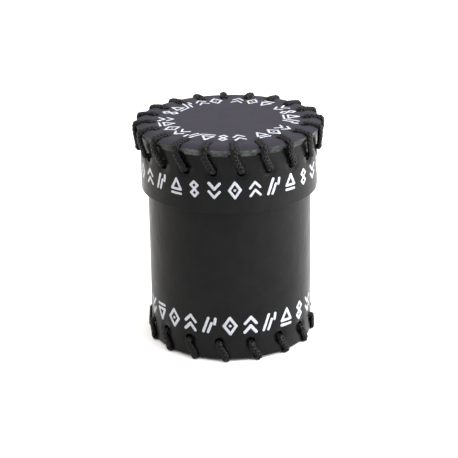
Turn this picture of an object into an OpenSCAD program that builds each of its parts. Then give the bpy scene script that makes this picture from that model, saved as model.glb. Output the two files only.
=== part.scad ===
// Laced leather dice cup with a slip-on lid.
// Two rolled leather walls, a floor disc and a lid disc, each disc whip-laced to its wall with one cord.
// Angles run from the front (-Y) towards +X. The cup stands on its lacing at z = 0.

/* [Cup] */
// Outside diameter of the rolled cup wall
cup_d = 78; // [60:1:100]
// Height of the cup wall, from its lower edge to the rim
cup_wall_h = 93.2; // [70:0.1:130]
// Thickness of the cup wall's leather
cup_wall_t = 2.6; // [2:0.1:3.4]
// Thickness of the floor disc
floor_t = 3.2; // [2.4:0.1:4]

/* [Lid] */
// Gap between the cup wall and the lid's skirt, on the radius
slip_gap = 0.5; // [0.4:0.05:1]
// Thickness of the lid skirt's leather
lid_wall_t = 2.5; // [2:0.1:3.2]
// Height of the lid, from the skirt's lower edge to the top of the disc's rim
lid_h = 31.2; // [27:0.1:45]
// Thickness of the lid disc
disc_t = 4; // [2.4:0.1:4.8]
// How far the lid disc reaches past the skirt
disc_overhang = 1.8; // [1:0.1:3]
// How far the lacing pulls the lid disc's rim down
rim_drop = 1; // [0:0.1:1.6]

/* [Lacing] */
// Width of the cord where it lies flattened
cord_w = 3.3; // [2.6:0.1:4]
// Thickness of the cord where it lies flattened
cord_t = 2.5; // [1.8:0.1:2.8]
// How much wider the punched holes are than the cord
hole_play = 0.9; // [0.7:0.1:1.5]
// How deep the pulled cord sinks into the lid disc's top and the cup's foot
press = 1.1; // [0.4:0.1:1.2]
// How deep the pulled cord sinks into the lid disc's rim
rim_press = 0.8; // [0.4:0.1:1.2]
// Number of stitches round the lid
lid_stitches = 20; // [16:2:24]
// Number of stitches round the cup's foot
cup_stitches = 16; // [12:2:20]
// From the top of the lid's rim down to the skirt's holes
lid_hole_drop = 11.8; // [10:0.1:14]
// From the lid disc's rim in to its holes
disc_hole_inset = 7.7; // [6.5:0.1:10]
// From the cup wall's lower edge up to its holes
cup_hole_rise = 8.4; // [7:0.1:11]
// From the floor disc's rim in to its holes
floor_hole_inset = 5.3; // [4.5:0.1:8]
// Slant of a lid stitch, from its skirt hole to its disc hole, in degrees
lid_slant = 4.5; // [2:0.5:7]
// Slant of a foot stitch, from its wall hole to its floor hole, in degrees
cup_slant = 5; // [2:0.5:8]

/* [Seams] */
// Diameter of the seam thread
thread_d = 0.8; // [0.6:0.1:1]
// Length of one seam stitch
stitch_l = 4.5; // [3:0.5:6]
// Angle of the skived overlap to the wall's surface, in degrees
skive_angle = 20; // [15:1:30]

/* [Hidden] */
$fn = 96;

// Clearances
floor_gap = 0.1;      // floor disc to cup wall, on the radius
glue_gap = 0.05;      // skirt's top edge to the lid disc
rest_gap = 0.3;       // cup rim to the lid lacing that rests on it
skive_gap = 0.12;     // glue line of a skived overlap
groove_gap = 0.15;    // cord to the bottom of its pressed groove
bend_gap = 0.2;       // cord to a leather corner that it turns round
lie_gap = 0.1;        // cord to a leather face that it lies on
turn_gap = 0.3;       // more room where the cord's flat turns over a hole's curved edge
edge_cut = 0.5;       // bevel along a leather edge
over = 1;             // how far a cutter runs past what it cuts

// The cord and its holes
cord_h = cord_t / 2;
hole_d = cord_w + hole_play;
hole_r = hole_d / 2;
groove_r = cord_w / 2 + 0.65;
bend = cord_h + bend_gap;
bend_45 = (bend + turn_gap) * sin(45);
lie = cord_h + lie_gap;
groove_d = press + groove_gap;
rim_groove_d = rim_press + groove_gap;
foot_h = cord_t - press;
knot_r = cord_w * 0.85;

// The cup
cup_ro = cup_d / 2;
cup_ri = cup_ro - cup_wall_t;
rim_z = foot_h + cup_wall_h;
floor_r = cup_ri - floor_gap;
floor_z = foot_h + floor_t;
cup_hole_z = foot_h + cup_hole_rise;
floor_hole_r = floor_r - floor_hole_inset;
cup_pitch = 360 / cup_stitches;
cup_first = 195 - 360;             // angle of the first wall hole, beside the seam
cup_seam = 180.4;

// The lid, placed by its inner lacing, which rests on the cup's rim
lid_ri = cup_ro + slip_gap;
lid_ro = lid_ri + lid_wall_t;
lid_hole_z = rim_z + rest_gap + cord_h + bend - hole_r;
rim_top_z = lid_hole_z + lid_hole_drop;
disc_z = rim_top_z + rim_drop;
disc_r = lid_ro + disc_overhang;
disc_hole_r = disc_r - disc_hole_inset;
flat_r = disc_hole_r - 3;          // the disc is flat inside this radius
skirt_z = rim_top_z - lid_h;
lid_pitch = 360 / lid_stitches;
lid_first = 180 - lid_pitch / 2;   // angle of the first skirt hole, beside the seam
lid_seam = 178.25;

// Height of the lid disc's top face at a radius, and of its underside
function disc_top(r) =
    disc_z - (r <= flat_r ? 0 : rim_drop * pow((r - flat_r) / (disc_r - flat_r), 2));
function disc_under(r) = disc_top(r) - disc_t;
skirt_top_z = disc_under(lid_ro) - glue_gap;

// Seam threads stop short of the edges and of the lace holes
cup_thread_z = [cup_hole_z + 4, rim_z - 6];
lid_thread_z = [skirt_z + 3.5, skirt_top_z - 4];
thread_r = thread_d / 2;
thread_cut = thread_d + 0.1;

// Angle that a length takes up at a radius
function deg(length, r) = length / r * 180 / PI;
function mix(a, b, t) = a + (b - a) * t;
function unit(v) = v / norm(v);

// A route point is [angle, radius, height, normal's radial part, normal's upward part].
// The normal points away from the leather that the flattened cord lies on.
function place(s) = [s[1] * sin(s[0]), -s[1] * cos(s[0]), s[2]];
function normal(s) = [s[3] * sin(s[0]), -s[3] * cos(s[0]), s[4]];

// Corners that the cord turns round: the lid disc's rim and hole, the wall's foot and the floor's hole
rim_corner = [disc_r - rim_groove_d, rim_top_z - groove_d];
top_corner = [disc_hole_r + hole_r, disc_top(disc_hole_r + hole_r) - groove_d];
under_corner = [top_corner[0], disc_under(top_corner[0])];
foot_corner = [cup_ro, foot_h + groove_d];
floor_corner = [floor_hole_r + hole_r, foot_h + groove_d];

// One lid stitch: out through the skirt, up over the rim, down through the disc and on inside
function lid_stitch(a) =
    let (b = a - lid_slant, top = lid_hole_z + hole_r, next = a - lid_pitch + 1.5,
         run = b - 0.8, low = under_corner[1] - bend_45)
    [
        [a + 1.5, lid_ri - lie, top + 0.25, -1, 0],
        [a + 0.4, lid_ri - bend_45, top - bend_45, -0.7, -0.7],
        [a, lid_ri + 0.1, top - bend, 0, -1],
        [a, lid_ro - 0.1, top - bend, 0, -1],
        [a - 0.2, lid_ro + bend_45, top - bend_45, 0.7, -0.7],
        [a - 0.9, lid_ro + lie, top + 0.25, 1, 0],
        [b + 0.1, rim_corner[0] + bend, rim_top_z - disc_t, 1, 0],
        [b, rim_corner[0] + bend, rim_corner[1], 1, 0],
        [b, rim_corner[0] + bend_45, rim_corner[1] + bend_45, 0.7, 0.7],
        [b, rim_corner[0], disc_top(rim_corner[0]) + cord_h - press, 0, 1],
        [b, top_corner[0] + 0.9, disc_top(top_corner[0] + 0.9) + cord_h - press, 0, 1],
        [b, top_corner[0] - bend_45, top_corner[1] + bend_45, -0.7, 0.7],
        [b, top_corner[0] - bend, top_corner[1], -1, 0],
        [b, top_corner[0] - bend, under_corner[1] + 0.3, -1, 0],
        [run, under_corner[0] - bend_45 + 0.1, low, -0.8, -0.5],
        [mix(run, next, 1 / 3), lid_ri - lie, mix(low, top, 1 / 3), -1, 0],
        [mix(run, next, 2 / 3), lid_ri - lie, mix(low, top, 2 / 3), -1, 0]
    ];

// One foot stitch: out through the wall, down round the foot, up through the floor and on inside
function cup_stitch(a) =
    let (b = a + cup_slant, low = cup_hole_z - hole_r, run = b + deg(0.5, floor_hole_r),
         next = a + cup_pitch - deg(3.4, cup_ri), inner = cup_ri - cord_w / 2)
    [
        [a - deg(3.4, cup_ri), inner, floor_z + 0.8 * cord_t, -0.7, 0.7],
        [a - deg(1.4, cup_ri), inner, low + 0.3, -0.5, 0.85],
        [a - deg(0.2, cup_ri), cup_ri - 0.9, low + bend - 0.25, -0.3, 0.95],
        [a, cup_ri + 0.4, low + bend, 0, 1],
        [a, cup_ro - 0.2, low + bend, 0, 1],
        [a + 0.1, cup_ro + bend_45, low + bend_45, 0.7, 0.7],
        [a + 0.6, cup_ro + lie, low - 0.3, 1, 0],
        [b - 0.7, cup_ro + lie, foot_corner[1] + 0.9, 1, 0],
        [b - 0.2, cup_ro + bend_45, foot_corner[1] - bend_45, 0.7, -0.7],
        [b, cup_ro - 0.3, cord_h, 0, -1],
        [b, cup_ro - 1.1, cord_h, 0, -1],
        [b, floor_corner[0] + 1.3, cord_h, 0, -1],
        [b, floor_corner[0] + 0.5, cord_h, 0, -1],
        [b, floor_corner[0] - bend_45, floor_corner[1] - bend_45, -0.7, -0.7],
        [b, floor_corner[0] - bend, floor_corner[1] + 0.1, -1, 0],
        [b, floor_corner[0] - bend, floor_z - 0.3, -1, 0],
        [run, floor_corner[0] - bend_45, floor_z + bend_45, -0.7, 0.5],
        [mix(run, next, 1 / 3), mix(floor_corner[0], inner, 1 / 3), floor_z + 0.75 * cord_t, -0.6, 0.8],
        [mix(run, next, 2 / 3), mix(floor_corner[0], inner, 0.85), floor_z + 0.75 * cord_t, -0.7, 0.7]
    ];

// The end of a cord: its last point lies just inside the knot
function into_knot(from, knot) =
    let (p = place(from), q = place(knot), tip = q + unit(p - q) * (knot_r - 0.3))
    [atan2(tip[0], -tip[1]), norm([tip[0], tip[1]]), tip[2], from[3], from[4]];

lid_angles = [for (i = [0:lid_stitches - 1]) lid_first - i * lid_pitch];
cup_angles = [for (i = [0:cup_stitches - 1]) cup_first + i * cup_pitch];
// Each stitch's last two points run on to the next stitch, so the last stitch leaves them out
lid_all = [for (a = lid_angles) each lid_stitch(a)];
cup_all = [for (a = cup_angles) each cup_stitch(a)];
lid_run = [for (i = [0:len(lid_all) - 3]) lid_all[i]];
cup_run = [for (i = [0:len(cup_all) - 3]) cup_all[i]];
lid_knot = [
    lid_first + lid_pitch - lid_slant - (lid_pitch - lid_slant) / 2, lid_ri - knot_r - lie_gap,
    (lid_run[0][2] + lid_run[len(lid_run) - 1][2]) / 2
];
cup_knot = [
    cup_first - (cup_pitch - cup_slant) / 2, cup_ri - knot_r - lie_gap, floor_z + knot_r + lie_gap
];

// A flattened cord swept along a route, closed at both ends
module cord(route) {
    sides = 8;
    half = 180 / sides;
    n = len(route);
    points = [
        for (i = [0:n - 1])
            let (
                p = place(route[i]),
                t = unit(place(route[min(i + 1, n - 1)]) - place(route[max(i - 1, 0)])),
                w = unit(cross(t, normal(route[i]))),
                m = cross(w, t)
            )
            for (k = [0:sides - 1])
                let (g = half + k * 2 * half)
                p + w * cord_w / 2 * cos(g) / cos(half) + m * cord_h * sin(g) / cos(half)
    ];
    skin = [
        for (i = [0:n - 2], k = [0:sides - 1])
            let (a = i * sides + k, b = i * sides + (k + 1) % sides)
            each [[a, b, b + sides], [a, b + sides, a + sides]]
    ];
    first = [for (k = [1:sides - 2]) [0, k + 1, k]];
    last = [for (k = [1:sides - 2]) [(n - 1) * sides, (n - 1) * sides + k, (n - 1) * sides + k + 1]];
    polyhedron(points, concat(skin, first, last));
}

// Places its children at an angle round the axis, with +X pointing outwards
module turn(a) {
    rotate([0, 0, a - 90]) children();
}

// A cylinder that lies along the radius, from r1 to r2 at height z
module spoke(a, r1, r2, z, r) {
    turn(a) translate([r1, 0, z]) rotate([0, 90, 0]) cylinder(r = r, h = r2 - r1);
}

// A rolled wall with bevelled edges
module rolled_wall(ri, ro, z1, z2) {
    rotate_extrude() polygon([
        [ri + edge_cut, z1], [ro - edge_cut, z1], [ro, z1 + edge_cut], [ro, z2 - edge_cut],
        [ro - edge_cut, z2], [ri + edge_cut, z2], [ri, z2 - edge_cut], [ri, z1 + edge_cut]
    ]);
}

// What a seam takes out of a wall: the skived glue line, the sunk thread lines and the awl holes
module seam_cuts(a, ri, ro, z1, z2, thread_z) {
    turn(a) {
        translate([(ri + ro) / 2, 0, (z1 + z2) / 2]) rotate([0, 0, 90 - skive_angle])
            cube([(ro - ri) / sin(skive_angle) + 3 * over, skive_gap, z2 - z1 + 2 * over], center = true);
        for (r = [ri, ro])
            translate([r, 0, (thread_z[0] + thread_z[1]) / 2])
                cube([2 * thread_cut, thread_cut, thread_z[1] - thread_z[0] + thread_cut], center = true);
    }
    for (z = awl_heights(thread_z)) spoke(a, ri - over, ro + over, z, thread_r);
}

function awl_heights(thread_z) =
    let (count = floor((thread_z[1] - thread_z[0]) / stitch_l))
    [for (i = [0:count]) mix(thread_z[0] + thread_r, thread_z[1] - thread_r, i / count)];

// Saddle stitching: a line of thread on each face, joined through every awl hole
module seam_thread(a, ri, ro, thread_z) {
    depth = thread_r + 0.05;
    turn(a)
        for (r = [ri + depth, ro - depth])
            translate([r, 0, thread_z[0]]) cylinder(r = thread_r, h = thread_z[1] - thread_z[0]);
    for (z = awl_heights(thread_z)) spoke(a, ri + depth, ro - depth, z, thread_r * 0.75);
}

module cup_wall() {
    color([0.16, 0.16, 0.17])
    difference() {
        rolled_wall(cup_ri, cup_ro, foot_h, rim_z);
        for (a = cup_angles) {
            spoke(a, cup_ri - over, cup_ro + over, cup_hole_z, hole_r);
            spoke(a + cup_slant, cup_ri - over, cup_ro + over, foot_corner[1] - groove_r, groove_r);
        }
        seam_cuts(cup_seam, cup_ri, cup_ro, foot_h, rim_z, cup_thread_z);
    }
}

module cup_floor() {
    color([0.13, 0.13, 0.14])
    difference() {
        translate([0, 0, foot_h]) cylinder(r = floor_r, h = floor_t);
        for (a = cup_angles) {
            turn(a + cup_slant) translate([floor_hole_r, 0, foot_h - over])
                cylinder(r = hole_r, h = floor_t + 2 * over);
            spoke(a + cup_slant, floor_hole_r, floor_r + over, floor_corner[1] - groove_r, groove_r);
        }
    }
}

module cup_lace() {
    color([0.06, 0.06, 0.06])
    cord(concat([into_knot(cup_run[0], cup_knot)], cup_run, [into_knot(cup_run[len(cup_run) - 1], cup_knot)]));
}

module cup_lace_knot() {
    color([0.06, 0.06, 0.06]) translate(place(cup_knot)) sphere(r = knot_r);
}

module cup_seam_thread() {
    color([0.05, 0.05, 0.05]) seam_thread(cup_seam, cup_ri, cup_ro, cup_thread_z);
}

module lid_wall() {
    color([0.16, 0.16, 0.17])
    difference() {
        rolled_wall(lid_ri, lid_ro, skirt_z, skirt_top_z);
        for (a = lid_angles) spoke(a, lid_ri - over, lid_ro + over, lid_hole_z, hole_r);
        seam_cuts(lid_seam, lid_ri, lid_ro, skirt_z, skirt_top_z, lid_thread_z);
    }
}

module lid_top() {
    radii = [0, flat_r, mix(flat_r, disc_r, 0.3), mix(flat_r, disc_r, 0.6), disc_r - edge_cut];
    color([0.17, 0.17, 0.19])
    difference() {
        rotate_extrude() polygon(concat(
            [for (r = radii) [r, disc_top(r)]],
            [[disc_r, rim_top_z - edge_cut], [disc_r, rim_top_z - disc_t]],
            [for (i = [len(radii) - 2:-1:0]) [radii[i], disc_under(radii[i])]]
        ));
        for (a = lid_angles) {
            turn(a - lid_slant) {
                translate([disc_hole_r, 0, disc_z - disc_t - rim_drop - over])
                    cylinder(r = hole_r, h = disc_t + rim_drop + 2 * over);
                translate([rim_corner[0] + groove_r, 0, rim_top_z - disc_t - over])
                    cylinder(r = groove_r, h = disc_t + 2 * over);
                top_groove();
            }
        }
    }
}

// The pressed groove across the lid disc's top, from a hole to the rim
module top_groove() {
    rise = disc_top(rim_corner[0]) - disc_top(top_corner[0]);
    reach = rim_corner[0] - top_corner[0];
    translate([top_corner[0], 0, top_corner[1] + groove_r]) rotate([0, 90 - atan2(rise, reach), 0])
        translate([0, 0, -hole_r]) cylinder(r = groove_r, h = reach + hole_r + 2 * over);
}

module lid_lace() {
    color([0.06, 0.06, 0.06])
    cord(concat([into_knot(lid_run[0], lid_knot)], lid_run, [into_knot(lid_run[len(lid_run) - 1], lid_knot)]));
}

module lid_lace_knot() {
    color([0.06, 0.06, 0.06]) translate(place(lid_knot)) sphere(r = knot_r);
}

module lid_seam_thread() {
    color([0.05, 0.05, 0.05]) seam_thread(lid_seam, lid_ri, lid_ro, lid_thread_z);
}

cup_wall();
cup_floor();
cup_lace();
cup_lace_knot();
cup_seam_thread();
lid_wall();
lid_top();
lid_lace();
lid_lace_knot();
lid_seam_thread();
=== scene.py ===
# %% [markdown]
# # A laced leather dice cup
# The cup is made the way a leatherworker makes it: strips and discs of thick leather are cut flat,
# punched, and rolled into walls. A braided cord then whips each disc to its wall.
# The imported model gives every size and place. The pieces here replace its plain solids one for one
# and ride on the same two bodies, the cup and the lid that lifts off it.

# %% Load the frame
import math
import random

import bpy
import numpy as np
from mathutils import Matrix, Vector


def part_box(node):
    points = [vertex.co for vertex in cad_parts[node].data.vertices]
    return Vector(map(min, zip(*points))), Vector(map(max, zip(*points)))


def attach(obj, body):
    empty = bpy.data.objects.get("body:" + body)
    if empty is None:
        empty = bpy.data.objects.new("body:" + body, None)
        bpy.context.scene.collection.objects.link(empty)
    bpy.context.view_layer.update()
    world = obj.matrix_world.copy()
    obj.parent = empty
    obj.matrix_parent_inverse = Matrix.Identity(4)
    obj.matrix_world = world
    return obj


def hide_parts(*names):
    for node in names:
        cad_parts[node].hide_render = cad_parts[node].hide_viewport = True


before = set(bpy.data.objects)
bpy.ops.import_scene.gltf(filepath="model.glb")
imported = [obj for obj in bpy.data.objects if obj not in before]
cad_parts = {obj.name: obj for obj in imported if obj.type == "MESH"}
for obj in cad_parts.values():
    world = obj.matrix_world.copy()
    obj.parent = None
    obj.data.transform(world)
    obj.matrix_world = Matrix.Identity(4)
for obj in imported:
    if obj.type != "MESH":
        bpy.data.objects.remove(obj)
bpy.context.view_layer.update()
MM = 0.001

# %% [markdown]
# ## Sizes
# Whatever the frame can say is read from its boxes. The rest are the maker's own choices: the
# thickness of the leather, the size of the cord and of its holes, and how hard the cord is pulled.
# All are in millimetres. Angles run from the front, -Y, towards +X.

# %% Sizes in millimetres
def box_mm(name):
    low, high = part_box(name)
    return low / MM, high / MM


wall_low, wall_high = box_mm("cup_wall")
floor_high = box_mm("cup_floor")[1]
skirt_low, skirt_high = box_mm("lid_wall")
disc_high = box_mm("lid_top")[1]

CUP_R = wall_high.x
FOOT_Z = wall_low.z
RIM_Z = wall_high.z
FLOOR_R = floor_high.x
FLOOR_Z = floor_high.z
FLOOR_T = FLOOR_Z - FOOT_Z
FLOOR_GAP = 0.1
CUP_T = CUP_R - FLOOR_R - FLOOR_GAP
LID_R = skirt_high.x
LID_T = 2.5
SKIRT_Z = skirt_low.z
DISC_R = disc_high.x
DISC_Z = disc_high.z
DISC_T = 4.0
RIM_DROP = 1.0

CORD_W = 3.3
CORD_T = 2.5
FLATTENING = 0.35
HOLE_R = 2.1
PRESS = 1.1
RIM_PRESS = 0.8
LID_STITCHES = 20
CUP_STITCHES = 16
LID_SLANT = 4.5
CUP_SLANT = 5.0
LID_HOLE_DROP = 11.8
CUP_HOLE_RISE = 8.4
DISC_HOLE_INSET = 7.7
FLOOR_HOLE_INSET = 5.3
CUP_HOLE_Z = FOOT_Z + CUP_HOLE_RISE
DISC_HOLE_R = DISC_R - DISC_HOLE_INSET
FLOOR_HOLE_R = FLOOR_R - FLOOR_HOLE_INSET
RIM_TOP_Z = DISC_Z - RIM_DROP
LID_HOLE_Z = RIM_TOP_Z - LID_HOLE_DROP
LID_PITCH = 360 / LID_STITCHES
CUP_PITCH = 360 / CUP_STITCHES
LID_FIRST = 180 - LID_PITCH / 2
CUP_FIRST = 195 - 360
SKIVE = math.radians(20)
CUP_SEAM = 180.4
LID_SEAM = 178.25
print("cup", round(2 * CUP_R, 1), "mm across, lid disc", round(2 * DISC_R, 1), "mm across")

# %% [markdown]
# ## Hand tools
# Three habits keep modelling by operator safe: deselect everything first, choose faces or edges by
# their place, and leave each finished object at the origin. These helpers do just that.

# %% Selecting and moving
TINY = 0.01 * MM


def activate(*pieces):
    bpy.ops.object.select_all(action="DESELECT")
    for piece in pieces:
        piece.select_set(True)
    bpy.context.view_layer.objects.active = pieces[0]


def select(piece, mode, test):
    """Leaves the piece in edit mode with the parts selected whose middle passes the test."""
    activate(piece)
    bpy.ops.object.mode_set(mode="EDIT")
    bpy.ops.mesh.select_mode(type=mode)
    bpy.ops.mesh.select_all(action="DESELECT")
    bpy.ops.object.mode_set(mode="OBJECT")
    mesh = piece.data
    if mode == "VERT":
        for vertex in mesh.vertices:
            vertex.select = test(vertex.co)
    elif mode == "EDGE":
        for edge in mesh.edges:
            a, b = (mesh.vertices[i].co for i in edge.vertices)
            edge.select = test(a) and test(b) and test((a + b) / 2)
    else:
        for face in mesh.polygons:
            face.select = test(face.center)
    bpy.ops.object.mode_set(mode="EDIT")


def done():
    bpy.ops.object.mode_set(mode="OBJECT")


def settle(piece):
    """Puts the piece's place, turn and size into its mesh."""
    activate(piece)
    bpy.ops.object.transform_apply(location=True, rotation=True, scale=True)


def modify(piece, kind, **settings):
    """Adds a modifier with its settings and applies it."""
    activate(piece)
    modifier = piece.modifiers.new(kind, kind)
    for key, value in settings.items():
        setattr(modifier, key, value)
    bpy.ops.object.modifier_apply(modifier=modifier.name)


def push(offset, reach):
    """Moves what is selected, and drags what lies within reach along, as a pull does in leather."""
    bpy.ops.transform.translate(
        value=offset, use_proportional_edit=True, proportional_edit_falloff="SMOOTH",
        proportional_size=reach,
    )


# %% [markdown]
# ## A panel for one stitch
# Every stitch needs the same thing: a piece of flat leather with a punched hole. One panel is
# modelled with care and repeated. A square is cut out of a grid, and a ring of the hole's size is
# bridged to it, so that the faces run round the hole and its edge can be dimpled by the pull.

# %% A flat panel with its hole at the origin
BLOCK = 3
MARGIN = 1
EDGE_ROW = 0.9 * MM
DIMPLE_REACH = 2.6 * MM


def punched_panel(name, width, columns, low, high, steps_low, steps_high, hole_r, dimple):
    cell = width / columns
    half = (BLOCK + MARGIN) * cell
    bpy.ops.object.select_all(action="DESELECT")
    bpy.ops.mesh.primitive_grid_add(
        x_subdivisions=columns, y_subdivisions=2 * (BLOCK + MARGIN), size=1)
    panel = bpy.context.object
    panel.name = name
    panel.scale = (width, 2 * half, 1)
    settle(panel)
    inside = BLOCK * cell + TINY

    select(panel, "FACE", lambda p: abs(p.x) < inside and abs(p.y) < inside)
    bpy.ops.mesh.delete(type="FACE")
    # Two loops in one plane can bridge with a twist. So the ring starts above the panel, the bridge
    # joins the two loops straight, and both are then flattened together.
    bpy.ops.mesh.primitive_circle_add(
        vertices=8 * BLOCK, radius=hole_r, fill_type="NOTHING", location=(0, 0, hole_r))
    done()

    def on_loops(p):
        square = abs(max(abs(p.x), abs(p.y)) - BLOCK * cell) < TINY
        return square or p.z > hole_r / 2

    select(panel, "EDGE", on_loops)
    bpy.ops.mesh.bridge_edge_loops(number_cuts=2, interpolation="LINEAR")
    bpy.ops.mesh.select_all(action="SELECT")
    bpy.ops.transform.resize(value=(1, 1, 0), center_override=(0, 0, 0))
    done()
    for edge, end, steps in ((-half, low, steps_low), (half, high, steps_high)):
        last = math.copysign(EDGE_ROW, end - edge)
        select(panel, "EDGE", lambda p, y=edge: abs(p.y - y) < TINY)
        for move in [(end - edge - last) / steps] * steps + [last]:
            bpy.ops.mesh.extrude_edges_move(TRANSFORM_OT_translate={"value": (0, move, 0)})
        done()

    select(panel, "VERT", lambda p: Vector((p.x, p.y)).length < hole_r + TINY)
    push((0, 0, -dimple), DIMPLE_REACH)
    done()
    return panel


def repeat(panel, pitch, count, first):
    """Copies a panel side by side, with the first one's hole at x = first."""
    modify(panel, "ARRAY", count=count, use_relative_offset=False, use_constant_offset=True,
           constant_offset_displace=(pitch, 0, 0), use_merge_vertices=True, merge_threshold=TINY)
    panel.location.x = first
    settle(panel)
    modify(panel, "SUBSURF", levels=1, render_levels=1, boundary_smooth="PRESERVE_CORNERS")


def roll(piece, radius):
    """Bends a flat piece into a ring round the Z axis. Lengths stay true at y = 0."""
    xs = [vertex.co.x for vertex in piece.data.vertices]
    modify(piece, "SIMPLE_DEFORM", deform_method="BEND", deform_axis="Z",
           angle=(max(xs) - min(xs)) / radius)
    piece.location.y = -radius
    settle(piece)


def stand_up(piece):
    """Turns a piece that lies flat, grain side up, so that its grain side faces the front."""
    piece.rotation_euler.x = math.radians(90)
    settle(piece)


# %% [markdown]
# ## Finishes
# Nearly everything is black, so the finishes have to differ in gloss and relief. Colours are given
# as the hex values that a colour picker shows, and one function turns them to linear light.

# %% Colours and nodes
def linear(hex_colour):
    channels = [int(hex_colour[i:i + 2], 16) / 255 for i in (1, 3, 5)]
    return tuple(c / 12.92 if c <= 0.04045 else ((c + 0.055) / 1.055) ** 2.4
                 for c in channels) + (1,)


def add(tree, kind, inputs=None, **settings):
    """Adds a node with its settings, and fills its inputs with values or other nodes' outputs."""
    node = tree.nodes.new(kind)
    for key, value in settings.items():
        setattr(node, key, value)
    for key, value in (inputs or {}).items():
        if isinstance(value, bpy.types.NodeSocket):
            tree.links.new(value, node.inputs[key])
        else:
            node.inputs[key].default_value = value
    return node


def per_mm(size_mm):
    """A texture's scale for features of a size in millimetres, on coordinates in metres."""
    return 1 / (size_mm * MM)


def new_finish(name):
    finish = bpy.data.materials.new(name)
    finish.use_nodes = True
    tree = finish.node_tree
    tree.nodes.clear()
    shader = add(tree, "ShaderNodeBsdfPrincipled")
    add(tree, "ShaderNodeOutputMaterial", {"Surface": shader.outputs["BSDF"]})
    return finish, tree, shader


def ramp(tree, factor, stops):
    node = add(tree, "ShaderNodeValToRGB", {"Fac": factor})
    while len(node.color_ramp.elements) < len(stops):
        node.color_ramp.elements.new(0.5)
    for element, (place, hex_colour) in zip(node.color_ramp.elements, stops):
        element.position = place
        element.color = linear(hex_colour)
    return node.outputs["Color"]


def spread(tree, factor, low, high):
    """Maps 0.3 to 0.7, where noise mostly lies, onto a range of values."""
    node = add(tree, "ShaderNodeMapRange", {
        "Value": factor, "From Min": 0.3, "From Max": 0.7, "To Min": low, "To Max": high})
    return node.outputs["Result"]


def relief(tree, height, depth_mm, normal=None):
    inputs = {"Height": height, "Distance": depth_mm * MM, "Strength": 1.0}
    if normal is not None:
        inputs["Normal"] = normal
    return add(tree, "ShaderNodeBump", inputs).outputs["Normal"]


# %% [markdown]
# ### Grain side of the leather
# Vegetable-tanned cowhide, dyed black through, pressed smooth and waxed. The hair pores leave a
# fine pebble about 0.6 mm across, with a slower ripple from the rolling. Wax makes it satin: the
# gloss wanders a little from place to place.

# %% Dyed and waxed grain leather
def grain_leather(name, dark, light, gloss_low, gloss_high):
    finish, tree, shader = new_finish(name)
    place = add(tree, "ShaderNodeTexCoord").outputs["Object"]
    pores = add(tree, "ShaderNodeTexVoronoi", {
        "Vector": place, "Scale": per_mm(0.6), "Randomness": 1.0}, feature="SMOOTH_F1")
    wrinkle = add(tree, "ShaderNodeTexNoise", {
        "Vector": place, "Scale": per_mm(2.2), "Detail": 6.0, "Roughness": 0.6})
    ripple = add(tree, "ShaderNodeTexNoise", {
        "Vector": place, "Scale": per_mm(14), "Detail": 2.0})
    cloud = add(tree, "ShaderNodeTexNoise", {
        "Vector": place, "Scale": per_mm(9), "Detail": 5.0, "Roughness": 0.65})
    base = ramp(tree, cloud.outputs["Fac"], [(0.3, dark), (0.7, light)])
    tree.links.new(base, shader.inputs["Base Color"])
    gloss = spread(tree, cloud.outputs["Fac"], gloss_low, gloss_high)
    tree.links.new(gloss, shader.inputs["Roughness"])
    slow = relief(tree, ripple.outputs["Fac"], 0.35)
    middle = relief(tree, wrinkle.outputs["Fac"], 0.07, slow)
    fine = relief(tree, pores.outputs["Distance"], 0.035, middle)
    tree.links.new(fine, shader.inputs["Normal"])
    shader.inputs["IOR"].default_value = 1.46
    shader.inputs["Specular IOR Level"].default_value = 0.1
    return finish


wall_grain = grain_leather("black_waxed_wall_leather", "#080809", "#0f0f0f", 0.28, 0.36)
# The discs get a lighter, purplish copy of the same black leather. The colour is painted sheen: it stands in
# for the ceiling's reflection on the lid's top.
disc_grain_painted_sheen = grain_leather("black_disc_leather_painted_sheen", "#17151d", "#221f29", 0.42, 0.52)
print("grain leather: 0.6 mm pores, satin")


# %% [markdown]
# ### Flesh side and cut edges
# The flesh side is napped: short fibres that scatter light, with no gloss. An edge that the dye
# and the burnisher have reached is nearly black, but the lid disc's edge was left raw after
# cutting, so it shows the pale grey-green felt of fibres inside the hide, in thin flat layers.

# %% Napped flesh side
def napped_leather(name):
    finish, tree, shader = new_finish(name)
    place = add(tree, "ShaderNodeTexCoord").outputs["Object"]
    nap = add(tree, "ShaderNodeTexNoise", {
        "Vector": place, "Scale": per_mm(0.5), "Detail": 6.0, "Roughness": 0.7})
    patches = add(tree, "ShaderNodeTexNoise", {
        "Vector": place, "Scale": per_mm(7), "Detail": 4.0})
    both = add(tree, "ShaderNodeMix", {
        "Factor": 0.5, "A": nap.outputs["Fac"], "B": patches.outputs["Fac"]})
    colour = ramp(tree, both.outputs["Result"], [(0.35, "#1b1a1b"), (0.65, "#2e2c2b")])
    tree.links.new(colour, shader.inputs["Base Color"])
    tree.links.new(relief(tree, nap.outputs["Fac"], 0.15), shader.inputs["Normal"])
    shader.inputs["Roughness"].default_value = 0.92
    shader.inputs["Sheen Weight"].default_value = 0.25
    shader.inputs["Sheen Roughness"].default_value = 0.6
    return finish


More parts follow.
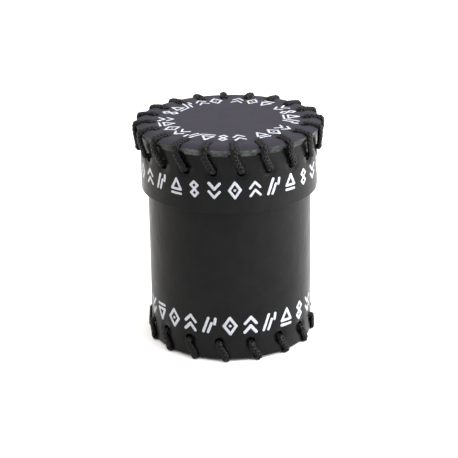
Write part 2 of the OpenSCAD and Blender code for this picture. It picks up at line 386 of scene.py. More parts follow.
# %% Cut edges, burnished or raw
def cut_edge(name, dark, middle, light, gloss, depth_mm):
    finish, tree, shader = new_finish(name)
    place = add(tree, "ShaderNodeTexCoord").outputs["Object"]
    flat = add(tree, "ShaderNodeMapping", {"Vector": place, "Scale": (1, 1, 4.5)})
    layers = add(tree, "ShaderNodeTexNoise", {
        "Vector": flat.outputs["Vector"], "Scale": per_mm(1.6), "Detail": 7.0, "Roughness": 0.7})
    fibres = add(tree, "ShaderNodeTexNoise", {
        "Vector": place, "Scale": per_mm(0.35), "Detail": 4.0, "Roughness": 0.7})
    stains = add(tree, "ShaderNodeTexNoise", {
        "Vector": place, "Scale": per_mm(6), "Detail": 3.0})
    streaks = add(tree, "ShaderNodeMix", {
        "Factor": 0.4, "A": layers.outputs["Fac"], "B": stains.outputs["Fac"]})
    colour = ramp(tree, streaks.outputs["Result"], [(0.34, dark), (0.5, middle), (0.64, light)])
    tree.links.new(colour, shader.inputs["Base Color"])
    coarse = relief(tree, layers.outputs["Fac"], depth_mm)
    tree.links.new(relief(tree, fibres.outputs["Fac"], depth_mm / 2, coarse),
                   shader.inputs["Normal"])
    shader.inputs["Roughness"].default_value = gloss
    shader.inputs["Specular IOR Level"].default_value = 0.15
    return finish


nap = napped_leather("napped_flesh_side")
burnished = cut_edge("burnished_black_edge", "#0a0a0a", "#111111", "#1a1919", 0.5, 0.05)
raw = cut_edge("raw_grey_cut_edge", "#181a19", "#323533", "#595d5a", 0.9, 0.1)
print("flesh side and two kinds of edge")


# %% [markdown]
# ### Waxed cord, thread and paint
# The cord is braided from black polyester yarn and waxed, so each yarn has a soft highlight along
# it. The paint is a thick white lacquer laid on with a brush: nearly matt, a little thin in places.

# %% Waxed yarn
def waxed_yarn(name, dark, light, gloss_low, gloss_high):
    finish, tree, shader = new_finish(name)
    place = add(tree, "ShaderNodeTexCoord").outputs["Object"]
    lint = add(tree, "ShaderNodeTexNoise", {
        "Vector": place, "Scale": per_mm(1.5), "Detail": 5.0, "Roughness": 0.7})
    fibre = add(tree, "ShaderNodeTexNoise", {
        "Vector": place, "Scale": per_mm(0.2), "Detail": 3.0, "Roughness": 0.6})
    colour = ramp(tree, lint.outputs["Fac"], [(0.35, dark), (0.7, light)])
    tree.links.new(colour, shader.inputs["Base Color"])
    gloss = spread(tree, lint.outputs["Fac"], gloss_low, gloss_high)
    tree.links.new(gloss, shader.inputs["Roughness"])
    tree.links.new(relief(tree, fibre.outputs["Fac"], 0.03), shader.inputs["Normal"])
    shader.inputs["Specular IOR Level"].default_value = 0.12
    return finish


cord_finish = waxed_yarn("black_waxed_braid", "#050505", "#0d0d0e", 0.3, 0.45)
thread_finish = waxed_yarn("black_waxed_thread", "#080808", "#141414", 0.4, 0.55)


# %% White lacquer
def brushed_lacquer(name):
    finish, tree, shader = new_finish(name)
    place = add(tree, "ShaderNodeTexCoord").outputs["Object"]
    streaks = add(tree, "ShaderNodeTexNoise", {
        "Vector": place, "Scale": per_mm(1.1), "Detail": 5.0, "Roughness": 0.65})
    colour = ramp(tree, streaks.outputs["Fac"], [(0.25, "#76787f"), (0.45, "#93959d"), (0.7, "#a2a5ad")])
    tree.links.new(colour, shader.inputs["Base Color"])
    tree.links.new(relief(tree, streaks.outputs["Fac"], 0.05), shader.inputs["Normal"])
    shader.inputs["Roughness"].default_value = 0.5
    return finish


lacquer = brushed_lacquer("white_brushed_lacquer")
print("cord, thread and paint")

# %% [markdown]
# ## The walls
# A wall is one strip of leather. The panel is repeated along it, the strip is given its thickness
# and softened edges, and its two ends are skived at 20 degrees so that they lap without a step.
# Only then is it stood up and rolled, as on the bench. Lengths are true on the grain side.

# %% A rolled wall
def lace_press(panel, x, y, offset, reach):
    """Presses the panel where the cord is pulled over its edge."""
    cell = 0.7 * MM
    select(panel, "VERT", lambda p: abs(p.x - x) < cell and abs(p.y - y) < TINY)
    push(offset, reach)
    done()


def thicken(piece, thickness, rounding):
    """Gives leather its thickness below the grain side and rounds all its cut edges."""
    modify(piece, "SOLIDIFY", thickness=thickness, offset=-1,
           material_offset=1, material_offset_rim=2)
    sides = {}
    for face in piece.data.polygons:
        for key in face.edge_keys:
            sides.setdefault(key, set()).add(face.material_index)
    select(piece, "EDGE", lambda p: False)
    done()
    for edge in piece.data.edges:
        edge.select = len(sides[edge.key]) > 1
    bpy.ops.object.mode_set(mode="EDIT")
    bpy.ops.mesh.bevel(offset=rounding, segments=3, affect="EDGES", clamp_overlap=True)
    done()


def skive(strip, x_outer, side):
    """Cuts one end of a strip on a slant. side is 1 for the end at larger x."""
    activate(strip)
    bpy.ops.object.mode_set(mode="EDIT")
    bpy.ops.mesh.select_all(action="SELECT")
    bpy.ops.mesh.bisect(
        plane_co=(x_outer - side * 0.06 * MM, 0, 0),
        plane_no=(math.sin(SKIVE), 0, -math.cos(SKIVE)),
        use_fill=True, clear_outer=side > 0, clear_inner=side < 0, threshold=1e-7)
    done()


def rolled_wall(name, radius, thickness, low, high, hole_z, pitch, first, seam, press_at, dimple,
                steps):
    arc = math.radians(pitch) * radius * MM
    strip = punched_panel(
        name, arc, 14, (low - hole_z) * MM, (high - hole_z) * MM, *steps, HOLE_R * MM, dimple * MM)
    if press_at:
        lace_press(strip, math.radians(press_at) * radius * MM, (low - hole_z) * MM,
                   (0, PRESS * MM, -0.3 * MM), 2.6 * MM)
    for finish in (wall_grain, nap, burnished):
        strip.data.materials.append(finish)
    lap = thickness / math.tan(SKIVE)
    outer_end = math.radians(seam) * radius + lap / 2
    turns_back = math.ceil((outer_end * MM / arc) - 0.5 - math.radians(first) * radius * MM / arc)
    count = math.ceil(360 / pitch) + 2
    start = math.radians(first) * radius * MM + (turns_back - count + 1) * arc
    repeat(strip, arc, count, start)
    thicken(strip, thickness * MM, 0.7 * MM)
    skive(strip, outer_end * MM, 1)
    skive(strip, (outer_end - 2 * math.pi * radius) * MM, -1)
    strip.location.y = hole_z * MM
    settle(strip)
    stand_up(strip)
    roll(strip, radius * MM)
    activate(strip)
    bpy.ops.object.shade_smooth_by_angle(angle=math.radians(40))
    print(name, len(strip.data.polygons), "faces")
    return strip


cup_wall = rolled_wall(
    "rolled_cup_wall", CUP_R, CUP_T, low=FOOT_Z, high=RIM_Z, hole_z=CUP_HOLE_Z, pitch=CUP_PITCH,
    first=CUP_FIRST, seam=CUP_SEAM, press_at=CUP_SLANT, dimple=0.55, steps=(3, 6))
lid_wall = rolled_wall(
    "rolled_lid_skirt", LID_R, LID_T, low=SKIRT_Z, high=skirt_high.z, hole_z=LID_HOLE_Z,
    pitch=LID_PITCH, first=LID_FIRST, seam=LID_SEAM, press_at=None, dimple=0.5, steps=(4, 2))

# %% [markdown]
# ## The discs
# A disc starts as a straight band of the same panels that is rolled in its own plane, so it comes
# out as a ring with a hole for each stitch. The ring's inner edge is drawn in to the middle. The
# cord presses a groove from each hole to the rim, and the leather swells up between the grooves.

# %% A laced disc, grain side up, with its top at z = 0
def laced_disc(name, disc_r, hole_r, thickness, stitches, first, drop, dimple, rounding,
               edge_finish):
    pitch = 2 * math.pi / stitches
    arc = pitch * hole_r * MM
    rim = (hole_r - disc_r) * MM
    inner = 6 * MM
    band = punched_panel(name, arc, 14, rim, inner, 3, 2, HOLE_R * MM, dimple * MM)

    rows = sorted({round(vertex.co.y / MM, 2) for vertex in band.data.vertices})
    for row in [row for row in rows if row < -HOLE_R - dimple]:
        share = (row + HOLE_R) / (rim / MM + HOLE_R)
        select(band, "VERT", lambda p, y=row: abs(p.y / MM - y) < 0.02)
        bpy.ops.transform.translate(value=(0, 0, -drop * MM * share ** 2))
        done()
    select(band, "VERT", lambda p: abs(p.x) < 0.7 * MM and p.y < -(HOLE_R + 0.8) * MM)
    push((0, 0, (0.6 * drop - PRESS) * MM), 2.3 * MM)
    done()
    lace_press(band, 0, rim, (0, RIM_PRESS * MM, -0.2 * MM), 2.4 * MM)
    # The grain side takes the disc leather, whose lighter purplish colour is painted sheen from the ceiling
    # light.
    for finish in (disc_grain_painted_sheen, nap, edge_finish, burnished):
        band.data.materials.append(finish)
    repeat(band, arc, stitches, math.radians(first) * hole_r * MM)
    turn = math.radians(first) + (stitches - 1) / 2 * pitch
    band.location.x = -turn * hole_r * MM
    settle(band)
    roll(band, hole_r * MM)
    band.rotation_euler.z = turn
    settle(band)

    edge_r = (hole_r - inner / MM) * MM
    select(band, "EDGE", lambda p: Vector((p.x, p.y)).length < edge_r + TINY)
    bpy.ops.mesh.remove_doubles(threshold=TINY)
    for scale in (0.85, 0.8, 0.72, 0.6, 0.4):
        bpy.ops.mesh.extrude_edges_move()
        bpy.ops.transform.resize(value=(scale, scale, 1), center_override=(0, 0, 0))
    bpy.ops.mesh.edge_face_add()
    bpy.ops.mesh.select_all(action="SELECT")
    bpy.ops.mesh.remove_doubles(threshold=TINY)
    bpy.ops.mesh.normals_make_consistent(inside=False)
    done()
    if sum(face.normal.z * face.area for face in band.data.polygons) < 0:
        activate(band)
        bpy.ops.object.mode_set(mode="EDIT")
        bpy.ops.mesh.select_all(action="SELECT")
        bpy.ops.mesh.flip_normals()
        done()
    thicken(band, thickness * MM, rounding * MM)
    # The dye reaches round both corners of the rim, so only the tall faces between stay raw.
    for face in band.data.polygons:
        heights = [band.data.vertices[i].co.z for i in face.vertices]
        if face.material_index == 2 and max(heights) - min(heights) < thickness / 3 * MM:
            face.material_index = 3
    activate(band)
    bpy.ops.object.shade_smooth_by_angle(angle=math.radians(40))
    print(name, len(band.data.polygons), "faces")
    return band


lid_disc = laced_disc(
    "laced_lid_disc", DISC_R, DISC_HOLE_R, DISC_T, LID_STITCHES, first=LID_FIRST - LID_SLANT,
    drop=1.5, dimple=0.5, rounding=0.6, edge_finish=raw)
lid_disc.location.z = DISC_Z * MM
settle(lid_disc)

# The floor's grain side faces down, so the disc is made face up and turned over.
floor_disc = laced_disc(
    "laced_floor_disc", FLOOR_R, FLOOR_HOLE_R, FLOOR_T, CUP_STITCHES,
    first=180 - CUP_FIRST - CUP_SLANT, drop=0.0, dimple=0.4, rounding=0.5, edge_finish=burnished)
floor_disc.rotation_euler.x = math.radians(180)
floor_disc.location.z = FOOT_Z * MM
settle(floor_disc)

# %% [markdown]
# ## The lacing's route
# One cord whips each disc to its wall. A route is a list of stations along the cord: an angle, a
# radius, a height, and the direction that faces away from the leather it lies on. The flattened
# cord keeps its broad side to the leather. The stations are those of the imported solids, but where
# the tight cord lies on the cup's wall it sinks a little way into the leather.

# %% Stations of one lid stitch and one foot stitch
GROOVE_GAP = 0.15
BEND = CORD_T / 2 + 0.2
BEND_45 = (BEND + 0.3) * math.sin(math.radians(45))
LIE = CORD_T / 2 + 0.1
SINK = 0.45
CUP_IN = CUP_R - CUP_T
LID_IN = LID_R - LID_T


def disc_top(radius):
    flat = DISC_HOLE_R - 3
    return DISC_Z - RIM_DROP * max(0, (radius - flat) / (DISC_R - flat)) ** 2


def mix(a, b, share):
    return a + (b - a) * share


def degrees_of(length, radius):
    return math.degrees(length / radius)


def lid_stitch(a):
    b = a - LID_SLANT
    top = LID_HOLE_Z + HOLE_R
    rim = (DISC_R - RIM_PRESS - GROOVE_GAP, RIM_TOP_Z - PRESS - GROOVE_GAP)
    inner = DISC_HOLE_R + HOLE_R
    corner = disc_top(inner) - PRESS - GROOVE_GAP
    under = disc_top(inner) - DISC_T
    low = under - BEND_45
    run = b - 0.8
    following = a - LID_PITCH + 1.5
    return [
        (a + 1.5, LID_IN - LIE, top + 0.25, -1, 0),
        (a + 0.4, LID_IN - BEND_45, top - BEND_45, -0.7, -0.7),
        (a, LID_IN + 0.1, top - BEND, 0, -1),
        (a, LID_R - 0.1, top - BEND, 0, -1),
        (a - 0.2, LID_R + BEND_45, top - BEND_45, 0.7, -0.7),
        (a - 0.9, LID_R + LIE, top + 0.25, 1, 0),
        (b + 0.1, rim[0] + BEND, RIM_TOP_Z - DISC_T, 1, 0),
        (b, rim[0] + BEND, rim[1], 1, 0),
        (b, rim[0] + BEND_45, rim[1] + BEND_45, 0.7, 0.7),
        (b, rim[0], disc_top(rim[0]) + CORD_T / 2 - PRESS, 0, 1),
        (b, inner + 0.9, disc_top(inner + 0.9) + CORD_T / 2 - PRESS, 0, 1),
        (b, inner - BEND_45, corner + BEND_45, -0.7, 0.7),
        (b, inner - BEND, corner, -1, 0),
        (b, inner - BEND, under + 0.3, -1, 0),
        (run, inner - BEND_45 + 0.1, low, -0.8, -0.5),
        (mix(run, following, 1 / 3), LID_IN - LIE, mix(low, top, 1 / 3), -1, 0),
        (mix(run, following, 2 / 3), LID_IN - LIE, mix(low, top, 2 / 3), -1, 0),
    ]


def cup_stitch(a):
    b = a + CUP_SLANT
    low = CUP_HOLE_Z - HOLE_R
    run = b + degrees_of(0.5, FLOOR_HOLE_R)
    following = a + CUP_PITCH - degrees_of(3.4, CUP_IN)
    inner = CUP_IN - CORD_W / 2
    foot = FOOT_Z + PRESS + GROOVE_GAP
    edge = FLOOR_HOLE_R + HOLE_R
    half = CORD_T / 2
    return [
        (a - degrees_of(3.4, CUP_IN), inner, FLOOR_Z + 0.8 * CORD_T, -0.7, 0.7),
        (a - degrees_of(1.4, CUP_IN), inner, low + 0.3, -0.5, 0.85),
        (a - degrees_of(0.2, CUP_IN), CUP_IN - 0.9, low + BEND - 0.25, -0.3, 0.95),
        (a, CUP_IN + 0.4, low + BEND, 0, 1),
        (a, CUP_R - 0.2, low + BEND, 0, 1),
        (a + 0.1, CUP_R + BEND_45 - SINK, low + BEND_45, 0.7, 0.7),
        (a + 0.6, CUP_R + LIE - SINK, low - 0.3, 1, 0),
        (b - 0.7, CUP_R + LIE - SINK, foot + 0.9, 1, 0),
        (b - 0.2, CUP_R + BEND_45 - SINK, foot - BEND_45, 0.7, -0.7),
        (b, CUP_R - 0.3, half, 0, -1),
        (b, CUP_R - 1.1, half, 0, -1),
        (b, edge + 1.3, half, 0, -1),
        (b, edge + 0.5, half, 0, -1),
        (b, edge - BEND_45, foot - BEND_45, -0.7, -0.7),
        (b, edge - BEND, foot + 0.1, -1, 0),
        (b, edge - BEND, FLOOR_Z - 0.3, -1, 0),
        (run, edge - BEND_45, FLOOR_Z + BEND_45, -0.7, 0.5),
        (mix(run, following, 1 / 3), mix(edge, inner, 1 / 3), FLOOR_Z + 0.75 * CORD_T, -0.6, 0.8),
        (mix(run, following, 2 / 3), mix(edge, inner, 0.85), FLOOR_Z + 0.75 * CORD_T, -0.7, 0.7),
    ]


def around(station):
    """A station's place and its direction away from the leather, in millimetres."""
    angle, radius, height, out, up = station
    s, c = math.sin(math.radians(angle)), -math.cos(math.radians(angle))
    return (s * radius, c * radius, height), (s * out, c * out, up)


# %% [markdown]
# ## The braided cord
# Eight flat yarns run round a core, four each way, and each goes over one and under the next. The
# rule is simple: a yarn's angle grows along the cord, and its height waves once for every two
# yarns that it crosses. So the braid is worked out along the route and not modelled by hand.

# %% Smooth points along a route
RING_STEP = 0.42
BRAID_PITCH = 8.0
YARN_W = 1.3
YARN_T = 0.56
YARN_WAVE = 0.14
YARN_SIDES = 5


def unit(vectors):
    return vectors / np.linalg.norm(vectors, axis=-1, keepdims=True)


def smooth_route(places, normals, step):
    """Even points along a smooth curve through the places, with their normals."""
    p = np.array(places, float)
    n = np.array(normals, float)
    p = np.vstack([2 * p[0] - p[1], p, 2 * p[-1] - p[-2]])
    u = np.linspace(0, 1, 12, endpoint=False)[:, None]
    points, facing = [], []
    for i in range(len(n) - 1):
        a, b, c, d = p[i:i + 4]
        t1 = np.linalg.norm(b - a) ** 0.5
        t2 = t1 + np.linalg.norm(c - b) ** 0.5
        t3 = t2 + np.linalg.norm(d - c) ** 0.5
        t = t1 + u * (t2 - t1)
        ab = (t1 - t) / t1 * a + t / t1 * b
        bc = (t2 - t) / (t2 - t1) * b + (t - t1) / (t2 - t1) * c
        cd = (t3 - t) / (t3 - t2) * c + (t - t2) / (t3 - t2) * d
        left = (t2 - t) / t2 * ab + t / t2 * bc
        right = (t3 - t) / (t3 - t1) * bc + (t - t1) / (t3 - t1) * cd
        points.append((t2 - t) / (t2 - t1) * left + (t - t1) / (t2 - t1) * right)
        facing.append((1 - u) * n[i] + u * n[i + 1])
    points = np.vstack(points + [p[-2:-1]])
    facing = np.vstack(facing + [n[-1:]])
    run = np.concatenate([[0], np.cumsum(np.linalg.norm(np.diff(points, axis=0), axis=1))])
    even = np.linspace(0, run[-1], max(4, round(run[-1] / step)) + 1)
    points = np.stack([np.interp(even, run, points[:, k]) for k in range(3)], 1)
    facing = np.stack([np.interp(even, run, facing[:, k]) for k in range(3)], 1)
    return points, unit(facing), even


# %% Tubes with an oval section
def tube_rings(centres, across, out, half_across, half_out, sides):
    angle = 2 * np.pi * np.arange(sides) / sides
    return (centres[:, None] + across[:, None] * half_across * np.cos(angle)[None, :, None]
            + out[:, None] * half_out * np.sin(angle)[None, :, None])


def tube_faces(rings, sides, start):
    faces = []
    for ring in range(rings - 1):
        low = start + ring * sides
        for k in range(sides):
            after = (k + 1) % sides
            faces.append((low + k, low + sides + k, low + sides + after, low + after))
    faces.append(tuple(start + k for k in range(sides)))
    faces.append(tuple(start + (rings - 1) * sides + k for k in reversed(range(sides))))
    return faces


def braided_cord(name, places, normals, width, thickness, finish):
    points, facing, run = smooth_route(places, normals, RING_STEP)
    along = unit(np.gradient(points, axis=0))
    side = unit(np.cross(along, facing))
    up = np.cross(side, along)
    half_w = width / 2 - YARN_WAVE - YARN_T / 2
    half_t = thickness / 2 - YARN_WAVE - YARN_T / 2
    vertices = [tube_rings(points, side, up, half_w, half_t, 8).reshape(-1, 3)]
    faces = tube_faces(len(points), 8, 0)
    count = len(vertices[0])
    turn = 2 * np.pi * run / BRAID_PITCH
    for yarn in range(4):
        for way in (1, -1):
            angle = (np.pi / 2 * yarn + way * turn)[:, None]
            bulge = unit(side * np.cos(angle) / half_w + up * np.sin(angle) / half_t)
            wave = way * YARN_WAVE * np.cos(4 * turn)[:, None]
            centres = points + side * half_w * np.cos(angle) + up * half_t * np.sin(angle)
            centres = centres + bulge * wave
            forward = unit(np.gradient(centres, axis=0))
            across = unit(np.cross(forward, bulge))
            rings = tube_rings(centres, across, np.cross(across, forward),
                               YARN_W / 2, YARN_T / 2, YARN_SIDES)
            vertices.append(rings.reshape(-1, 3))
            faces += tube_faces(len(points), YARN_SIDES, count)
            count += len(vertices[-1])
    mesh = bpy.data.meshes.new(name)
    mesh.from_pydata((np.vstack(vertices) * MM).tolist(), [], faces)
    mesh.materials.append(finish)
    cord = bpy.data.objects.new(name, mesh)
    bpy.context.scene.collection.objects.link(cord)
    activate(cord)
    bpy.ops.object.mode_set(mode="EDIT")
    bpy.ops.mesh.select_all(action="SELECT")
    bpy.ops.mesh.normals_make_consistent(inside=False)
    done()
    bpy.ops.object.shade_smooth()
    print(name, round(run[-1]), "mm long,", len(faces), "faces")
    return cord


# %% The two laces
def lace(name, stitches):
    stations = [station for stitch in stitches for station in stitch]
    places, normals = zip(*(around(station) for station in stations[:-2]))
    return braided_cord(name, places, normals, CORD_W + FLATTENING, CORD_T + 0.1, cord_finish)


lid_lace = lace("lid_whip_lacing", [lid_stitch(LID_FIRST - i * LID_PITCH) for i in range(LID_STITCHES)])
cup_lace = lace("foot_whip_lacing", [cup_stitch(CUP_FIRST + i * CUP_PITCH) for i in range(CUP_STITCHES)])

# %% [markdown]
# ## The knots
# Each lace's two ends meet in a small tight knot inside, at the back. An overhand knot pulled
# tight is close to a trefoil, so the same cord is run round a small trefoil, and its two ends
# stick out a few millimetres and are cut off.

# %% A tight knot with two short ends
def knot(name, node, tail):
    low, high = box_mm(node)
    middle = (low + high) / 2
    size = 0.5
    angles = np.linspace(0.35, 2 * np.pi - 0.35, 26)
    ring = 2 + np.cos(3 * angles)
    loops = np.stack([ring * np.cos(2 * angles), ring * np.sin(2 * angles),
                      1.3 * np.sin(3 * angles)], 1) * size
    tail = np.array(tail, float)
    first = loops[0] + tail * np.array([[1.0], [0.5]])
    last = loops[-1] + tail * np.array([[0.5], [1.0]]) * np.array([-1, 1, 1])
    path = np.vstack([first, loops, last])
    normals = unit(path - path.mean(0))
    return braided_cord(name, path + np.array(middle), normals, 2.5, 2.1, cord_finish)


lid_knot = knot("lid_lace_end_knot", "lid_lace_knot", (2.6, 1.0, -1.6))
cup_knot = knot("foot_lace_end_knot", "cup_lace_knot", (2.6, 1.2, 2.2))

# %% [markdown]
# ## The seams
# A saddle stitch shows as a row of short, slightly slanted stitches on both faces. One stitch is
# two plies of waxed thread twisted together. It is modelled once, copied down the seam while the
# wall still lies flat, and rolled with the same bend as the wall.

# %% A row of saddle stitches
THREAD_R = 0.24
STITCH_L = 4.5


def twisted_stitch():
    plies = []
    for offset in (-0.2, 0.2):
        bpy.ops.object.select_all(action="DESELECT")
        bpy.ops.mesh.primitive_cylinder_add(
            vertices=8, radius=THREAD_R * MM, depth=(STITCH_L - 0.5) * MM,
            location=(offset * MM, 0, 0))
        ply = bpy.context.object
        settle(ply)
        select(ply, "EDGE", lambda p: True)
        bpy.ops.mesh.subdivide(number_cuts=1)
        for cut in range(1, 10):
            height = (cut / 10 - 0.5) * (STITCH_L - 0.5) * MM
            bpy.ops.mesh.select_all(action="SELECT")
            bpy.ops.mesh.bisect(plane_co=(0, 0, height), plane_no=(0, 0, 1))
        done()
        plies.append(ply)
    activate(*plies)
    bpy.ops.object.join()
    stitch = bpy.context.object
    modify(stitch, "SIMPLE_DEFORM", deform_method="TWIST", deform_axis="Z", angle=math.radians(560))
    stitch.rotation_euler.x = math.radians(90)
    settle(stitch)
    stitch.rotation_euler.z = math.radians(7)
    settle(stitch)
    return stitch


def saddle_seam(name, node, radius, thickness, seam):
    low, high = box_mm(node)
    stitch = twisted_stitch()
    count = int((high.z - low.z) // STITCH_L)
    gap = (high.z - low.z) / count
    copies = []
    for i in range(count):
        for depth in (0.05, thickness - 0.05):
            copy = stitch.copy()
            copy.data = stitch.data.copy()
            bpy.context.scene.collection.objects.link(copy)
            copy.location = (math.radians(seam) * radius * MM,
                             (low.z + (i + 0.5) * gap) * MM, -depth * MM)
            settle(copy)
            copies.append(copy)
    bpy.data.objects.remove(stitch)
    activate(*copies)
    bpy.ops.object.join()
    row = bpy.context.object
    row.name = name
    row.data.materials.append(thread_finish)
    stand_up(row)
    roll(row, radius * MM)
    activate(row)
    bpy.ops.object.shade_smooth()
    print(name, count, "stitches on each face")
    return row


cup_seam = saddle_seam("cup_saddle_stitching", "cup_seam_thread", CUP_R, CUP_T, CUP_SEAM)
lid_seam = saddle_seam("lid_saddle_stitching", "lid_seam_thread", LID_R, LID_T, LID_SEAM)

# %% [markdown]
# ## The painted marks
# Rings of small white ornaments run round the lid and the foot, each a few strokes of a round
# brush. They are plain geometry: dotted diamonds, chevrons, slanted bars, triangles. A stroke is a
# flattened ball of paint whose front half is pulled out to the stroke's end.

# %% One brush stroke, then one mark
PAINT_H = 0.16
PAINT_SINK = 0.09


def brush_stroke(start, end, width):
    start, end = Vector(start).to_3d(), Vector(end).to_3d()
    pull = end - start
    angle = math.atan2(pull.y, pull.x)
    bpy.ops.object.select_all(action="DESELECT")
    bpy.ops.mesh.primitive_uv_sphere_add(
        segments=12, ring_count=6, radius=width / 2, rotation=(0, 0, angle + math.radians(15)))
    stroke = bpy.context.object
    stroke.scale.z = PAINT_H * MM / (width / 2)
    settle(stroke)
    if pull.length > 0:
        select(stroke, "VERT", lambda p: p.dot(pull) > 0)
        bpy.ops.transform.translate(value=pull)
        done()
        cuts = max(1, round(pull.length / (1.3 * MM)))
        along = pull.normalized()
        for cut in range(1, cuts + 1):
            select(stroke, "FACE", lambda p: True)
            bpy.ops.mesh.bisect(plane_co=along * (pull.length * cut / (cuts + 1)), plane_no=along)
            done()
    stroke.location = start
    settle(stroke)
    return stroke


MARKS = {
    "dotted_diamond": [[(0, 0.43), (0.3, 0), (0, -0.43), (-0.3, 0), (0, 0.43)], [(0, 0), (0, 0)]],
    "raised_chevrons": [[(-0.29, 0.08), (0, 0.41), (0.29, 0.08)],
                        [(-0.29, -0.38), (0, -0.05), (0.29, -0.38)]],
    "slanted_bars": [[(-0.34, -0.4), (-0.08, 0.4)], [(-0.08, -0.4), (0.1, 0.12)], [(0.26, 0.1), (0.3, 0.4)]],
    "triangle_on_bar": [[(-0.3, -0.16), (0, 0.42), (0.3, -0.16), (-0.3, -0.16)],
                        [(-0.3, -0.41), (0.3, -0.41)]],
    "twin_diamonds": [[(0, 0.43), (0.2, 0.22), (0, 0.01), (-0.2, 0.22), (0, 0.43)],
                      [(0, -0.01), (0.2, -0.22), (0, -0.43), (-0.2, -0.22), (0, -0.01)]],
    "lowered_chevrons": [[(-0.29, 0.38), (0, 0.05), (0.29, 0.38)],
                         [(-0.29, -0.08), (0, -0.41), (0.29, -0.08)]],
    "bar_on_triangle": [[(-0.3, 0.16), (0, -0.42), (0.3, 0.16), (-0.3, 0.16)],
                        [(-0.3, 0.41), (0.3, 0.41)]],
}


def painted_mark(name, height, width):
    strokes = []
    for line in MARKS[name]:
        scaled = [(x * height * MM, y * height * MM) for x, y in line]
        for start, end in zip(scaled, scaled[1:]):
            strokes.append(brush_stroke(start, end, width * MM))
    activate(*strokes)
    bpy.ops.object.join()
    return bpy.context.object


# %% Rings of marks
def mark_copies(height, width, places):
    """Copies the marks in turn. Each place is (x, y, z) in millimetres and a turn in degrees."""
    patterns = [painted_mark(name, height, width) for name in MARKS]
    hand = random.Random(len(places))
    copies = []
    for i, (place, turn) in enumerate(places):
        pattern = patterns[i % len(patterns)]
        copy = pattern.copy()
        copy.data = pattern.data.copy()
        bpy.context.scene.collection.objects.link(copy)
        copy.location = Vector(place) * MM
        copy.rotation_euler.z = math.radians(turn + hand.uniform(-3, 3))
        size = hand.uniform(0.95, 1.04)
        copy.scale = (size, size, 1)
        settle(copy)
        copies.append(copy)
    for pattern in patterns:
        bpy.data.objects.remove(pattern)
    activate(*copies)
    bpy.ops.object.join()
    ring = bpy.context.object
    ring.data.materials.append(lacquer)
    return ring


def wall_marks(name, radius, height, width, count, first, middle_z, seam_lap):
    pitch = 360 / count
    angles = [first + i * pitch for i in range(count)]
    kept = [a for a in angles if abs((a - seam_lap + 180) % 360 - 180) > pitch / 2.4]
    places = [((math.radians((a + 180) % 360 - 180) * radius, middle_z, -PAINT_SINK), 0) for a in kept]
    ring = mark_copies(height, width, places)
    ring.name = name
    stand_up(ring)
    roll(ring, radius * MM)
    activate(ring)
    bpy.ops.object.shade_smooth()
    print(name, len(kept), "marks,", len(ring.data.polygons), "faces")
    return ring


def lap_angle(seam, thickness, radius):
    return seam + math.degrees(thickness / math.tan(SKIVE) / 2 / radius)


cup_marks = wall_marks(
    "cup_painted_marks", CUP_R, height=9.3, width=1.7, count=25, first=0.4,
    middle_z=FOOT_Z + 17.05, seam_lap=lap_angle(CUP_SEAM, CUP_T, CUP_R))
lid_marks = wall_marks(
    "skirt_painted_marks", LID_R, height=8.4, width=1.5, count=28, first=4.68,
    middle_z=RIM_TOP_Z - 20.1, seam_lap=lap_angle(LID_SEAM, LID_T, LID_R))

# %% Marks on the lid's top, in five groups with one step and one gap
GROUP_SIZES = [5, 8, 3, 4, 3]
MARK_RING = 29.7
MARK_STEP = degrees_of(7.4, MARK_RING)
FIRST_MARK = -167
group_gap = (360 - (sum(GROUP_SIZES) - len(GROUP_SIZES)) * MARK_STEP) / len(GROUP_SIZES)
top_places = []
angle = FIRST_MARK
for size in GROUP_SIZES:
    for i in range(size):
        place = around((angle + i * MARK_STEP, MARK_RING, DISC_Z - PAINT_SINK, 0, 0))[0]
        top_places.append((place, angle + i * MARK_STEP + 180))
    angle += (size - 1) * MARK_STEP + group_gap
top_marks = mark_copies(height=8.8, width=1.25, places=top_places)
top_marks.name = "lid_top_painted_marks"
activate(top_marks)
bpy.ops.object.shade_smooth()
print("lid top:", len(top_places), "marks")

# %% [markdown]
# ## Riding on the two bodies
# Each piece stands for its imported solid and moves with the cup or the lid. The marks are a film
# of paint, so they stand for no solid of their own.

# %% Bodies, replaced nodes and slots
PIECES = [
    (cup_wall, "cup", "cup_wall", "wall_leather"),
    (floor_disc, "cup", "cup_floor", "disc_leather"),
    (cup_lace, "cup", "cup_lace", "waxed_cord"),
    (cup_knot, "cup", "cup_lace_knot", "waxed_cord"),
    (cup_seam, "cup", "cup_seam_thread", "seam_thread"),
    (cup_marks, "cup", None, "white_paint"),
    (lid_wall, "lid", "lid_wall", "wall_leather"),
    (lid_disc, "lid", "lid_top", "disc_leather"),
    (lid_lace, "lid", "lid_lace", "waxed_cord"),
    (lid_knot, "lid", "lid_lace_knot", "waxed_cord"),
    (lid_seam, "lid", "lid_seam_thread", "seam_thread"),
    (lid_marks, "lid", None, "white_paint"),
    (top_marks, "lid", None, "white_paint"),
]
for piece, body, node_name, slot_name in PIECES:
    settle(piece)
    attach(piece, body)
    if node_name:
        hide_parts(node_name)
print(len(PIECES), "pieces")

# %% [markdown]
# ## Floor, light and camera
# A white table in a white room whose ceiling is the main light, and a soft box at each side. The camera
# stands a good arm's length away with a long lens, a little to the right, looking down 21 degrees.

# %% Floor and room
bpy.context.scene.view_settings.view_transform = "Standard"
bpy.ops.object.select_all(action="DESELECT")
bpy.ops.mesh.primitive_plane_add(size=6, location=(0, 0, 0))
table = bpy.context.object
table.name = "white_table"
paper, tree, shader = new_finish("white_paper")
shader.inputs["Base Color"].default_value = linear("#d6d6d6")
shader.inputs["Roughness"].default_value = 0.9
table.data.materials.append(paper)

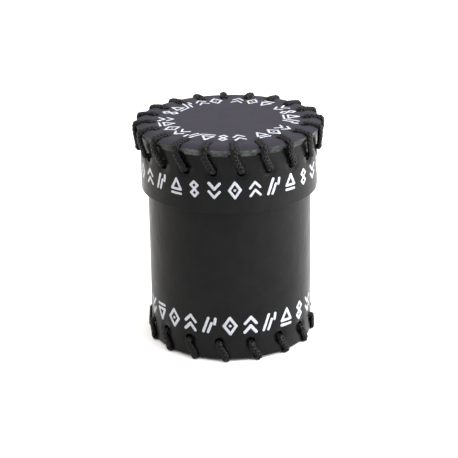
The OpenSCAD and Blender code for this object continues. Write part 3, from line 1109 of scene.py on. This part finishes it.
# The ceiling is the main light, and the room's walls are dimmer.
HORIZON = 0.45
ZENITH = 2.5
world = bpy.data.worlds.new("white_room")
world.use_nodes = True
tree = world.node_tree
direction = add(tree, "ShaderNodeTexCoord").outputs["Generated"]
height = add(tree, "ShaderNodeSeparateXYZ", {"Vector": direction}).outputs["Z"]
rise = add(tree, "ShaderNodeMapRange", {
    "Value": height, "To Min": HORIZON, "To Max": ZENITH}, interpolation_type="SMOOTHSTEP")
tree.nodes["Background"].inputs["Color"].default_value = (1, 1, 1, 1)
tree.links.new(rise.outputs["Result"], tree.nodes["Background"].inputs["Strength"])
bpy.context.scene.world = world


# %% Soft boxes
def soft_box(name, place, size, power, tint):
    bpy.ops.object.light_add(type="AREA", location=place)
    light = bpy.context.object
    light.name = name
    light.data.shape = "RECTANGLE"
    light.data.size, light.data.size_y = size
    light.data.energy = power
    light.data.color = linear(tint)[:3]
    aim = Vector((0, 0, 0.06)) - Vector(place)
    light.rotation_euler = aim.to_track_quat("-Z", "Y").to_euler()
    return light


soft_box("left_box", (-0.8, 0.15, 0.35), (0.8, 0.8), 6, "#fff2dc")
soft_box("right_box", (0.42, -0.12, 0.3), (0.5, 0.4), 8, "#ffffff")

# %% Camera
CAMERA_PLACE = Vector((17.1, -708.6, 326.5 + FOOT_Z)) * MM
PITCH, YAW, ROLL = (math.radians(angle) for angle in (21.25, -1.425, -0.883))
LENS_MM = 123.2
forward = Vector((math.sin(YAW) * math.cos(PITCH), math.cos(YAW) * math.cos(PITCH), -math.sin(PITCH)))
level = forward.cross(Vector((0, 0, 1))).normalized()
upright = level.cross(forward)
right = level * math.cos(ROLL) + upright * math.sin(ROLL)
up = upright * math.cos(ROLL) - level * math.sin(ROLL)
camera_data = bpy.data.cameras.new("camera")
camera_data.lens = LENS_MM
camera_data.sensor_width = 36
camera = bpy.data.objects.new("camera", camera_data)
bpy.context.scene.collection.objects.link(camera)
camera.matrix_world = Matrix.Translation(CAMERA_PLACE) @ Matrix((right, up, -forward)).transposed().to_4x4()
bpy.context.scene.camera = camera
print("camera", [round(c / MM) for c in CAMERA_PLACE], "mm, lens", LENS_MM, "mm")
